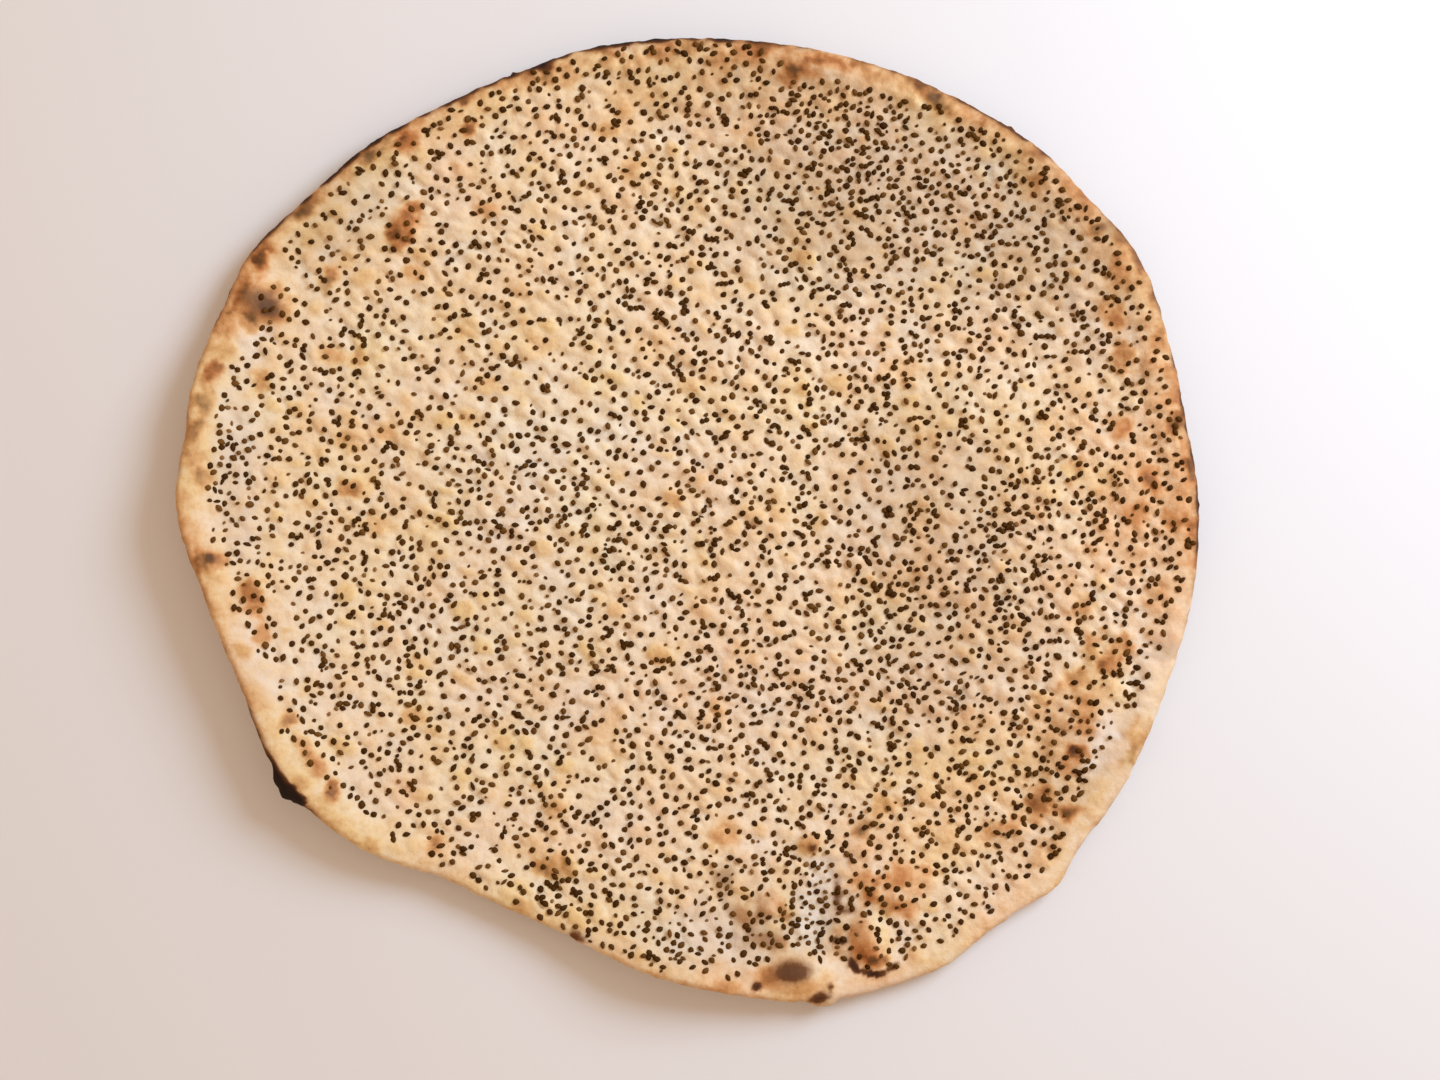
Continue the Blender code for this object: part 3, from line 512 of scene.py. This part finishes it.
def underside(x, y):
    """The underside lies flat in the middle and curls up to the edge."""
    bearing = np.degrees(np.arctan2(y, x))
    share = np.hypot(x, y) / edge_radius(bearing)
    curl = np.maximum(0.0, (share - SOLE_SHARE) / (1.0 - SOLE_SHARE))
    return round_rim(EDGE_LIFTS, bearing) * curl**CURL_POWER


def blister_height(x, y):
    """Round swellings, or hollows where a blister's height is below 0."""
    total = np.zeros_like(x)
    for mark in BLISTERS:
        along, across = turned(x, y, mark)
        total += mark[5] * np.maximum(0.0, 1.0 - along**2 - across**2) ** BLISTER_POWER
    return total


def sheet_thickness(x, y):
    """The sheet with its rolled lip, its soft swellings and its blisters."""
    inset, _bearing = inset_at(x, y)
    lip = LIP_HEIGHT * np.exp(-(((inset - LIP_INSET) / LIP_WIDTH) ** 2))
    return THICKNESS + lip + PUFF_HEIGHT * waves(x, y, PUFF_SIZE) + blister_height(x, y)


def pillows(x, y):
    """The dough's small pillows: 0 in the creases between them and 1 on top, and for each a number
    from -1 to 1."""
    bend = layered(x, y, PILLOW_WANDER)
    along, across = turned(x, y, RIPPLE_AXES)
    along, across = (along + bend) / (PILLOW_SIZE * PILLOW_STRETCH), (across + bend) / PILLOW_SIZE
    tops, numbers = [], []
    for u, v in zip(along, across):
        distances, centres = noise.voronoi((u, v, 0.0))
        tops.append(distances[1] - distances[0])
        numbers.append(noise.cell(centres[0] * PILLOW_NUMBERING))
    return eased(np.array(tops) / PILLOW_CREASE), np.array(numbers)


def ripples(x, y):
    """Crests at 1 and troughs at -1, strong only where the baker's fingers drew them."""
    across = turned(x, y, RIPPLE_AXES)[1] + layered(x, y, RIPPLE_WANDER)
    patch = eased(RIPPLE_REACH - np.hypot(*turned(x, y, RIPPLE_PATCH)))
    strength = RIPPLE_ELSEWHERE + (1.0 - RIPPLE_ELSEWHERE) * patch
    strength *= RIPPLE_MEAN + layered(x, y, RIPPLE_VARIETY)
    return strength * np.sin(math.tau * across / RIPPLE_GAP)


def dough_relief(x, y):
    """Fine relief of the top crust, fading out on the smooth skin of the rim."""
    inset, bearing = inset_at(x, y)
    share = inset / (round_rim(SEED_MARGINS, bearing) + SKIN_FADE)
    skin = SKIN_RELIEF + (1.0 - SKIN_RELIEF) * eased(share)
    skin *= 1.0 - marks_at(x, y, SMOOTHED, 0.0)
    tops, _numbers = pillows(x, y)
    return skin * (
        PILLOW_HEIGHT * (tops - PILLOW_LEVEL)
        + RIPPLE_HEIGHT * ripples(x, y)
        + layered(x, y, GRAIN)
    )


def top_height(x, y):
    return underside(x, y) + sheet_thickness(x, y) + dough_relief(x, y)


# -------- scattering the seeds

def seed_density(x, y):
    """How thick the seeds lie, where 1 is usual."""
    inset, bearing = inset_at(x, y)
    density = 1.0 + SEED_TREND * x / HALF_WIDTH
    for mark in SEED_PATCHES:
        along, across = turned(x, y, mark)
        density *= 1.0 + mark[5] * np.exp(-(along**2 + across**2))
    density *= 1.0 + layered(x, y, SEED_WAVES)
    tops, _numbers = pillows(x, y)
    density *= 1.0 + SEEDS_IN_CREASES / 2.0 - SEEDS_IN_CREASES * tops
    density *= 1.0 - SEEDS_IN_TROUGHS * ripples(x, y)
    past = (inset - round_rim(SEED_MARGINS, bearing)) / SEED_MARGIN_BLUR
    return density * eased(past + SEED_MARGIN_LEVEL)


class Plot:
    """Seeds that have landed, sorted into squares so that near ones are quickly found."""

    def __init__(self, square):
        self.square = square
        self.squares = {}
        self.places = []

    def land(self, x, y, gap):
        """Lays a seed down if every other one is at least gap away."""
        i, j = int(x // self.square), int(y // self.square)
        near = [self.squares.get((i + a, j + b), ()) for a in (-1, 0, 1) for b in (-1, 0, 1)]
        if any(math.dist((x, y), other) < gap for square in near for other in square):
            return False
        self.squares.setdefault((i, j), []).append((x, y))
        self.places.append((x, y))
        return True


def scatter_seeds():
    """Places of the seeds: most fall singly, and some lie against each other in small clumps."""
    draw = np.random.default_rng(SEED_DRAW)
    reach = SEED_FIELD * HALF_WIDTH
    tries = draw.uniform(-reach, reach, (SEED_TRIES, 2))
    density = seed_density(tries[:, 0], tries[:, 1])
    kept = draw.random(len(tries)) < density / np.quantile(density, SEED_BUSIEST)
    gaps = draw.uniform(*SEED_GAPS, len(tries)) / np.maximum(1.0, density) ** SEED_GAP_POWER
    gaps = np.maximum(gaps, SEED_GAPS[0])
    plot = Plot(SEED_GAPS[1])
    for x, y, half_length, half_width, turn in SEED_CLUMPS:
        heap = (x, y, half_length - SEED_CLUMP_EDGE, half_width - SEED_CLUMP_EDGE, turn)
        for u, v in draw.uniform(-1.0, 1.0, (HEAP_TRIES, 2)):
            if math.hypot(u, v) < 1.0:
                plot.land(*within(heap, u, v), SEED_HEAPING)
    for (x, y), gap in zip(tries[kept], gaps[kept]):
        if len(plot.places) >= SEED_COUNT:
            break
        if not plot.land(x, y, gap) or draw.random() > SEED_CLUMP_SHARE:
            continue
        for _ in range(draw.integers(1, 3)):
            bearing = draw.uniform(0.0, math.tau)
            step = draw.uniform(*SEED_STEPS) * SEED_TOUCHING
            near = x + step * math.cos(bearing), y + step * math.sin(bearing)
            if inset_at(*near)[0] > SEED_EDGE_GAP:
                plot.land(*near, SEED_TOUCHING)
    return np.array(plot.places[:SEED_COUNT])


def tree_of(seeds):
    """A tree that finds the seeds nearest to a place."""
    tree = kdtree.KDTree(len(seeds))
    for i, (x, y) in enumerate(seeds):
        tree.insert((x, y, 0.0), i)
    tree.balance()
    return tree


# -------- the bread's mesh

TOP_RINGS = 150
EDGE_BANDS = 8
SOLE_RINGS = 84
POINTS_PER_RING = 6  # ring k of a disc holds 6k points, which spaces them evenly


def disc_points(rings, last_count=None):
    """Points in rings round the middle: x, y, the share of the way to the edge, and ring sizes."""
    sizes = [1] + [POINTS_PER_RING * k for k in range(1, rings + 1)]
    if last_count:
        sizes[-1] = last_count
    shares = np.concatenate([np.full(size, k / rings) for k, size in enumerate(sizes)])
    bearings = np.concatenate([360.0 * np.arange(size) / size for size in sizes])
    wobble = shares**WOBBLE_POWER * edge_wobble(bearings)
    radii = shares * (edge_radius(bearings) - EDGE_ROUNDING + wobble)
    return *on_circle(radii, bearings), shares, sizes


def joined(first, first_size, second, second_size):
    """Triangles that join two rings of points, running anticlockwise seen from above."""
    faces, i, j = [], 0, 0
    while i < first_size or j < second_size:
        a, b = first + i % first_size, second + j % second_size
        if first_size == 1 or (i + 1) / first_size > (j + 1) / second_size:
            if j == second_size:
                break
            faces.append((a, b, second + (j + 1) % second_size))
            j += 1
        else:
            faces.append((a, b, first + (i + 1) % first_size))
            i += 1
    return faces


def lumps_at(bearings):
    """How far the charred lumps push the edge out."""
    total = np.zeros_like(bearings)
    for bearing, half_angle, reach in EDGE_LUMPS:
        away = np.abs((bearings - bearing + 180.0) % 360.0 - 180.0) / half_angle
        total += reach * eased(LUMP_REACH - away)
    return total


def on_circle(radii, bearings):
    return radii * np.cos(np.radians(bearings)), radii * np.sin(np.radians(bearings))


def edge_wobble(bearings):
    """How far in or out the edge strays from its smooth outline."""
    return layered(*on_circle(HALF_WIDTH, bearings), EDGE_WOBBLE)


def top_points(seeds):
    """Places, heights and ring sizes of the top crust."""
    x, y, _shares, sizes = disc_points(TOP_RINGS)
    z = top_height(x, y)
    tree = tree_of(seeds)
    away = np.array([tree.find((u, v, 0.0))[2] for u, v in zip(x, y)])
    z -= DENT_DEPTH * np.exp(-((away / DENT_RADIUS) ** 2))
    return np.stack((x, y, z), axis=1), sizes


def sole_points():
    """The underside, from its middle outwards."""
    x, y, shares, sizes = disc_points(SOLE_RINGS, POINTS_PER_RING * TOP_RINGS)
    bumps = np.maximum(0.0, layered(x, y, SOLE_BUMPS))
    z = underside(x, y) + (1.0 - shares**SOLE_BUMP_POWER) * bumps
    return np.stack((x, y, z), axis=1), sizes


def edge_points(upper, lower):
    """Rings that turn the edge over, from the last ring of the top to that of the underside."""
    count = len(upper)
    bearings = 360.0 * np.arange(count) / count
    middle, half = (upper[:, 2] + lower[:, 2]) / 2.0, (upper[:, 2] - lower[:, 2]) / 2.0
    rings = []
    for band in range(1, EDGE_BANDS):
        angle = math.pi * band / EDGE_BANDS
        reach = EDGE_ROUNDING * math.sin(angle)
        lump = lumps_at(bearings) * eased(np.full(count, LUMP_RISE * band / EDGE_BANDS))
        lump *= 1.0 + layered(bearings, np.full(count, LUMP_BAND * band), LUMP_VARIETY)
        radii = edge_radius(bearings) - EDGE_ROUNDING + edge_wobble(bearings) + reach
        x, y = on_circle(radii + lump * math.sin(angle), bearings)
        ragged = EDGE_GRAIN * waves(x, y, EDGE_GRAIN_SIZE, EDGE_GRAIN_LAYER + band)
        rings.append(np.stack((x, y, middle + half * math.cos(angle) + ragged), axis=1))
    return rings


def add_object(name, data):
    """Puts a mesh, a light or a camera into the scene."""
    item = bpy.data.objects.new(name, data)
    bpy.context.scene.collection.objects.link(item)
    return item


def paint(mesh, name, values):
    """Stores a value from 0 to 1 at each point of a mesh, for its material to read."""
    layer = mesh.attributes.new(name, "FLOAT", "POINT")
    layer.data.foreach_set("value", np.clip(values, 0.0, 1.0).astype(np.float32))


def browning(places):
    """What the fire did to the crust at each point of the top and the edge, with the shade and
    light painted into its colour.
    """
    x, y = places[:, 0], places[:, 1]
    inset, bearing = inset_at(x, y)
    ragged = layered(x, y, MARK_RAGGEDNESS) * (1.0 - marks_at(x, y, SMOOTHED, 0.0))
    tops, numbers = pillows(x, y)
    rim = round_rim(RIM_TOAST, bearing) * (1.0 + RIM_RAGGEDNESS * ragged)
    rim *= np.exp(-((np.maximum(0.0, inset - RIM_TOAST_FULL) / RIM_TOAST_REACH) ** 2))
    golden_tops = tops * np.maximum(0.0, numbers - GOLDEN_FROM) / (1.0 - GOLDEN_FROM)
    bake = BAKE_LEVEL + marks_at(x, y, TOASTED_AND_HIGHLIGHTED, ragged) + rim + layered(x, y, BAKE_WAVES)
    bake += TOP_BAKE * (tops - 0.5) + GOLDEN_BAKE * golden_tops
    char = round_rim(EDGE_CHAR, bearing) * (1.0 + layered(x, y, EDGE_CHAR_PATCHES))
    char *= np.exp(-((np.maximum(0.0, inset) / EDGE_CHAR_REACH) ** 2))
    fade = eased((bake - FLOUR_FADE[0]) / (FLOUR_FADE[1] - FLOUR_FADE[0]))
    gold_and_highlight = GOLD_LEVEL + GOLD_TREND * x / HALF_WIDTH + layered(x, y, GOLD_WAVES)
    gold_and_highlight += GOLD_ON_TOPS * golden_tops
    gold_and_highlight += marks_at(x, y, GILDED, ragged) + marks_at(x, y, TOASTED_AND_HIGHLIGHTED, ragged, column=6)
    return {
        "bake": bake,
        "scorch_and_shade": marks_at(x, y, SCORCHED_AND_SHADED, ragged) + char,
        "flour_and_light": marks_at(x, y, FLOURED_AND_LIT, ragged) * (1.0 - fade),
        "dull_and_shade": marks_at(x, y, DULLED_AND_SHADED, ragged),
        "smoke": marks_at(x, y, SMOKED, ragged),
        "gold_and_highlight": gold_and_highlight,
    }


def sole_browning(places):
    """Scattered brown spots where the underside touched the oven wall, and some flour."""
    x, y = places[:, 0], places[:, 1]
    spots = layered(x, y, SOLE_SPOTS)
    return {
        "bake": SOLE_BAKE + SOLE_SPOT_BAKE * spots,
        "scorch_and_shade": SOLE_SCORCH * (spots - SOLE_SCORCH_FROM),
        "flour_and_light": layered(x, y, SOLE_FLOUR),
        "dull_and_shade": np.full(len(x), SOLE_DULLNESS),
        "smoke": np.zeros(len(x)),
        "gold_and_highlight": np.full(len(x), SOLE_GOLD),
    }


def make_bread(seeds):
    """The crust as one closed skin: the top, the rounded edge and the underside."""
    top, top_sizes = top_points(seeds)
    sole, sole_sizes = sole_points()
    count = top_sizes[-1]
    edge = edge_points(top[-count:], sole[-count:])
    vertices = np.concatenate([top] + edge + [sole])
    faces, start = [], 0
    for size, next_size in zip(top_sizes, top_sizes[1:]):
        faces += joined(start, size, start + size, next_size)
        start += size
    for _ in edge:
        faces += joined(start, count, start + count, count)
        start += count
    sole_start = start + count
    faces += joined(start, count, len(vertices) - count, count)
    start = sole_start
    for size, next_size in zip(sole_sizes, sole_sizes[1:]):
        faces += [face[::-1] for face in joined(start, size, start + size, next_size)]
        start += size
    mesh = bpy.data.meshes.new("bread_crust")
    mesh.from_pydata(vertices * MM, [], faces)
    mesh.shade_smooth()
    upper, lower = browning(np.concatenate([top] + edge)), sole_browning(sole)
    for name in upper:
        paint(mesh, name, np.concatenate((upper[name], lower[name])))
    return add_object("bread_crust", mesh)


# -------- the seeds' mesh

def seed_shape():
    """One seed of length and width 1 lying along X: its points, its triangles."""
    points = [(-0.5, 0.0, 0.0)]
    for place, width in SEED_RINGS:
        for side in range(SEED_SIDES):
            angle = math.tau * side / SEED_SIDES
            points.append((place - 0.5, width * math.cos(angle) / 2.0, width * math.sin(angle) / 2.0))
    points.append((0.5, 0.0, 0.0))
    faces = []
    for side in range(SEED_SIDES):
        after = (side + 1) % SEED_SIDES
        faces.append((0, 1 + after, 1 + side))
        for ring in range(len(SEED_RINGS) - 1):
            a, b = 1 + ring * SEED_SIDES + side, 1 + ring * SEED_SIDES + after
            faces.append((a, b, b + SEED_SIDES))
            faces.append((a, b + SEED_SIDES, a + SEED_SIDES))
        last = 1 + (len(SEED_RINGS) - 1) * SEED_SIDES
        faces.append((last + side, last + after, len(points) - 1))
    return np.array(points), np.array(faces)


def nearest_gap(places):
    """The distance from each seed to the nearest other one."""
    tree = tree_of(places)
    return np.array([tree.find_n((x, y, 0.0), 2)[1][2] for x, y in places])


def make_seeds(places):
    """All seeds as one mesh, each lying in its dent along the slope of the crust."""
    draw = np.random.default_rng(SEED_DRAW + 1)
    count = len(places)
    x, y = places[:, 0], places[:, 1]
    step = 1.0  # the slope of the crust is taken over twice this distance
    height = top_height(x, y)
    slope_x = (top_height(x + step, y) - top_height(x - step, y)) / (2.0 * step)
    slope_y = (top_height(x, y + step) - top_height(x, y - step)) / (2.0 * step)
    up = np.stack((-slope_x, -slope_y, np.ones(count)), axis=1)
    up += draw.normal(0.0, SEED_TILT, (count, 3))
    up /= np.linalg.norm(up, axis=1, keepdims=True)
    turn = draw.uniform(0.0, math.tau, count)
    along = np.stack((np.cos(turn), np.sin(turn), np.zeros(count)), axis=1)
    across = np.cross(up, along)
    across /= np.linalg.norm(across, axis=1, keepdims=True)
    along = np.cross(across, up)
    points, faces = seed_shape()
    size = 1.0 + SEED_SPREAD * draw.normal(0.0, 1.0, (count, 3))
    small_share = SMALL_SEED_SHARE + SMALL_SEEDS_IN_FLOUR * marks_at(x, y, FLOURED_AND_LIT, 0.0)
    small = draw.random(count) < small_share
    size[small] *= draw.uniform(*SMALL_SEED_SIZE, (small.sum(), 1))
    size *= (SEED_LENGTH, SEED_WIDTH, SEED_THICKNESS)
    shape = points[None] * size[:, None] * draw.uniform(*SEED_LUMPS, (count, len(points), 3))
    lift = draw.normal(*SEED_LIFT, count) - DENT_DEPTH / 2.0
    middle = np.stack((x, y, height + lift), axis=1)
    placed = (
        middle[:, None]
        + shape[..., :1] * along[:, None]
        + shape[..., 1:2] * across[:, None]
        + shape[..., 2:] * up[:, None]
    )
    all_faces = faces[None] + len(points) * np.arange(count)[:, None, None]
    mesh = bpy.data.meshes.new("black_seeds")
    mesh.from_pydata(placed.reshape(-1, 3) * MM, [], all_faces.reshape(-1, 3))
    mesh.shade_smooth()
    crowding = eased((SEED_GAPS[0] - nearest_gap(places)) / (SEED_GAPS[0] - SEED_HEAPING))
    dust = DUST_SPREAD * draw.random(count) + DUST_ON_SMALL * small + DUST_TREND * x / HALF_WIDTH
    dust *= 1.0 - DUST_LOST_IN_HEAPS * crowding
    paint(mesh, "dust", np.repeat(dust, len(points)))
    return add_object("black_seeds", mesh)


# -------- materials

def linear(hex_code):
    """An sRGB hex colour as linear red, green, blue and alpha."""
    channels = [int(hex_code[i:i + 2], 16) / 255.0 for i in (1, 3, 5)]
    return [c / 12.92 if c <= 0.04045 else ((c + 0.055) / 1.055) ** 2.4 for c in channels] + [1.0]


def add(tree, kind, inputs=None, stops=None, **settings):
    """Adds a node with its settings, its inputs, as values or links, and its colour stops."""
    node = tree.nodes.new(kind)
    for name, value in settings.items():
        setattr(node, name, value)
    for socket, value in (inputs or {}).items():
        if isinstance(value, bpy.types.NodeSocket):
            tree.links.new(value, node.inputs[socket])
        else:
            node.inputs[socket].default_value = value
    for i, (place, hex_code) in enumerate(stops or ()):
        if i >= len(node.color_ramp.elements):
            node.color_ramp.elements.new(place)
        node.color_ramp.elements[i].position = place
        node.color_ramp.elements[i].color = linear(hex_code)
    return node


def mixed(tree, share, first, second, blend_type="MIX"):
    """The colour that lies this share of the way from the first to the second."""
    sockets = {0: share, 6: first, 7: second}
    return add(tree, "ShaderNodeMix", sockets, data_type="RGBA", blend_type=blend_type).outputs[2]


def new_material(name):
    material = bpy.data.materials.new(name)
    material.use_nodes = True
    return material, material.node_tree, material.node_tree.nodes["Principled BSDF"]


def per_metre(size_mm):
    """A noise node's scale for a pattern whose swellings are size_mm across."""
    return 1.0 / (size_mm * MM)


def baked_crust():
    """Baked wheat crust, matt and a little mealy: cream where the dough is pale, through gold and
    orange tan to brown where it touched the heat, with black char, dry white flour and a skin of
    fine wrinkles and pores. Painted shade greys and darkens it where it turns from the light and in a
    crease by the torn bubble, painted light makes the lower right welt paler, and painted highlights
    make a few bumps more golden."""
    material, tree, surface = new_material("baked_wheat_crust")
    place = add(tree, "ShaderNodeTexCoord").outputs["Object"]
    bake, scorch_and_shade, flour_and_light, dull_and_shade, smoke, gold_and_highlight = (
        add(tree, "ShaderNodeAttribute", attribute_name=name).outputs["Fac"]
        for name in ("bake", "scorch_and_shade", "flour_and_light", "dull_and_shade", "smoke", "gold_and_highlight")
    )
    blotch, fleck, pore = (
        add(tree, "ShaderNodeTexNoise", {"Vector": place, "Scale": per_metre(size), "Detail": detail})
        .outputs["Fac"]
        for size, detail in ((9.0, 3.0), (1.7, 3.0), (0.55, 2.0))
    )
    blotched = add(tree, "ShaderNodeMath", {0: blotch, 1: 0.38, 2: -0.19}, operation="MULTIPLY_ADD")
    flecked = add(tree, "ShaderNodeMath", {0: fleck, 1: 0.22, 2: -0.11}, operation="MULTIPLY_ADD")
    uneven = add(tree, "ShaderNodeMath", {0: blotched.outputs[0], 1: flecked.outputs[0]})
    baked = add(tree, "ShaderNodeMath", {0: bake, 1: uneven.outputs[0]})
    golden = add(tree, "ShaderNodeValToRGB", {"Fac": baked.outputs[0]}, stops=(
        (0.00, "#eee0cb"), (0.20, "#f0dab4"), (0.38, "#eccb92"), (0.56, "#d9ab72"),
        (0.74, "#b28756"), (0.88, "#87673f"), (1.00, "#5f472b"),
    ))
    rosy = add(tree, "ShaderNodeValToRGB", {"Fac": baked.outputs[0]}, stops=(
        (0.00, "#edddcb"), (0.20, "#eed5b8"), (0.38, "#ebc296"), (0.56, "#dba06a"),
        (0.74, "#bd7944"), (0.88, "#8e5a30"), (1.00, "#613d1f"),
    ))
    # Rosy to olive gold, with painted highlights, more golden, on a few bumps that face the light.
    crust = mixed(tree, gold_and_highlight, rosy.outputs["Color"], golden.outputs["Color"])
    # Greyer under the thickest seeds, and painted shade where the crust turns away from the light.
    dulled_and_shaded = mixed(tree, dull_and_shade, crust, linear("#dfdcd7"), "MULTIPLY")
    dusty = add(tree, "ShaderNodeMath", {0: fleck, 1: 2.2, 2: -0.45}, operation="MULTIPLY_ADD")
    # Pale flour, and painted light on the outer slope of the lower right welt, which faces the light.
    dusted_and_lit = add(tree, "ShaderNodeMath", {0: flour_and_light, 1: dusty.outputs[0]},
                 operation="MULTIPLY", use_clamp=True)
    floured_and_lit = mixed(tree, dusted_and_lit.outputs[0], dulled_and_shaded, linear("#ece1d5"))
    # Black char from the scorched marks and the edge, and painted shade in the crease by the torn
    # bubble.
    burnt_and_shaded = add(tree, "ShaderNodeMath", {0: scorch_and_shade, 1: flecked.outputs[0]}, use_clamp=True)
    char = add(tree, "ShaderNodeValToRGB", {"Fac": burnt_and_shaded.outputs[0]}, stops=(
        (0.0, "#a5683a"), (0.4, "#744620"), (0.7, "#4a2913"), (1.0, "#24160b"),
    ))
    how_dark = add(tree, "ShaderNodeMapRange", {"Value": burnt_and_shaded.outputs[0], "From Max": 0.45})
    charred_and_shaded = mixed(tree, how_dark.outputs[0], floured_and_lit, char.outputs["Color"])
    colour = mixed(tree, smoke, charred_and_shaded, linear("#7b6858"))
    rough = add(tree, "ShaderNodeMapRange", {
        "Value": baked.outputs[0], "From Min": 0.2, "From Max": 0.9, "To Min": 0.78, "To Max": 0.52,
    })
    wrinkles = add(tree, "ShaderNodeBump", {"Height": fleck, "Distance": 0.25 * MM})
    pores = add(tree, "ShaderNodeBump", {
        "Height": pore, "Distance": 0.10 * MM, "Normal": wrinkles.outputs[0],
    })
    tree.links.new(colour, surface.inputs["Base Color"])
    tree.links.new(rough.outputs[0], surface.inputs["Roughness"])
    tree.links.new(pores.outputs[0], surface.inputs["Normal"])
    surface.inputs["IOR"].default_value = 1.42
    surface.inputs["Specular IOR Level"].default_value = 0.22
    return material


def seed_coat():
    """Dry coat of a black seed: near black, finely wrinkled, a soft gleam, browner where dusty."""
    material, tree, surface = new_material("black_seed_coat")
    place = add(tree, "ShaderNodeTexCoord").outputs["Object"]
    dust = add(tree, "ShaderNodeAttribute", attribute_name="dust").outputs["Fac"]
    colour = add(tree, "ShaderNodeValToRGB", {"Fac": dust}, stops=(
        (0.0, "#3e2202"), (0.5, "#573508"), (0.8, "#764e1f"), (1.0, "#946a3a"),
    ))
    wrinkle = add(tree, "ShaderNodeTexNoise", {"Vector": place, "Scale": per_metre(0.3)})
    bump = add(tree, "ShaderNodeBump", {"Height": wrinkle.outputs["Fac"], "Distance": 0.06 * MM})
    tree.links.new(colour.outputs["Color"], surface.inputs["Base Color"])
    tree.links.new(bump.outputs[0], surface.inputs["Normal"])
    surface.inputs["Roughness"].default_value = 0.66
    surface.inputs["Specular IOR Level"].default_value = 0.08
    return material


def pale_floor():
    """Plain pale floor with a satin surface."""
    material, _tree, surface = new_material("pale_floor")
    surface.inputs["Base Color"].default_value = linear("#e8e5e4")
    surface.inputs["Roughness"].default_value = 0.6
    return material


# -------- floor, light and camera

CAMERA_AIM = (9.8, -8.7, 0.0)
CAMERA_DISTANCE = 800.0
CAMERA_ELEVATION = 86.0
CAMERA_LENS = 59.1  # millimetres, on a 36 mm sensor
FLOOR_HALF_SIZE = 4000.0
WINDOW_PLACE = (726.0, 442.0, 660.0)
WINDOW_SIZE = 600.0
WINDOW_POWER = 11.6  # watts
WINDOW_COLOUR = "#cee7ff"
ROOM_COLOUR = "#ffe0c4"
ROOM_STRENGTH = 0.675


def lay_floor():
    size = FLOOR_HALF_SIZE * MM
    mesh = bpy.data.meshes.new("floor")
    corners = [(-size, -size, 0.0), (size, -size, 0.0), (size, size, 0.0), (-size, size, 0.0)]
    mesh.from_pydata(corners, [], [(0, 1, 2, 3)])
    mesh.materials.append(pale_floor())
    floor = add_object("floor", mesh)


def add_light(name, place, size, power, hex_code):
    """A soft box at a place, in millimetres, turned to the bread."""
    data = bpy.data.lights.new(name, "AREA")
    data.shape = "DISK"
    data.size = size * MM
    data.energy = power
    data.color = linear(hex_code)[:3]
    light = add_object(name, data)
    light.location = Vector(place) * MM
    light.rotation_euler = (-light.location).to_track_quat("-Z", "Y").to_euler()


def light_scene():
    """Cool window light from the upper right, in a room whose walls send back a warm glow."""
    add_light("window", WINDOW_PLACE, WINDOW_SIZE, WINDOW_POWER, WINDOW_COLOUR)
    world = bpy.data.worlds.new("studio")
    world.use_nodes = True
    background = world.node_tree.nodes["Background"]
    background.inputs["Color"].default_value = linear(ROOM_COLOUR)
    background.inputs["Strength"].default_value = ROOM_STRENGTH
    bpy.context.scene.world = world
    bpy.context.scene.view_settings.view_transform = "Standard"


def place_camera():
    data = bpy.data.cameras.new("camera")
    data.lens = CAMERA_LENS
    camera = add_object("camera", data)
    angle = math.radians(CAMERA_ELEVATION)
    aim = Vector(CAMERA_AIM) * MM
    away = Vector((0.0, -math.cos(angle), math.sin(angle)))
    camera.location = aim + away * CAMERA_DISTANCE * MM
    camera.rotation_euler = away.to_track_quat("Z", "Y").to_euler()
    bpy.context.scene.camera = camera


# -------- making it all

seed_places = scatter_seeds()
bread = make_bread(seed_places)
bread.data.materials.append(baked_crust())
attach(bread, "root")
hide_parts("bread")

seeds = make_seeds(seed_places)
seeds.data.materials.append(seed_coat())
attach(seeds, "root")

lay_floor()
light_scene()
place_camera()
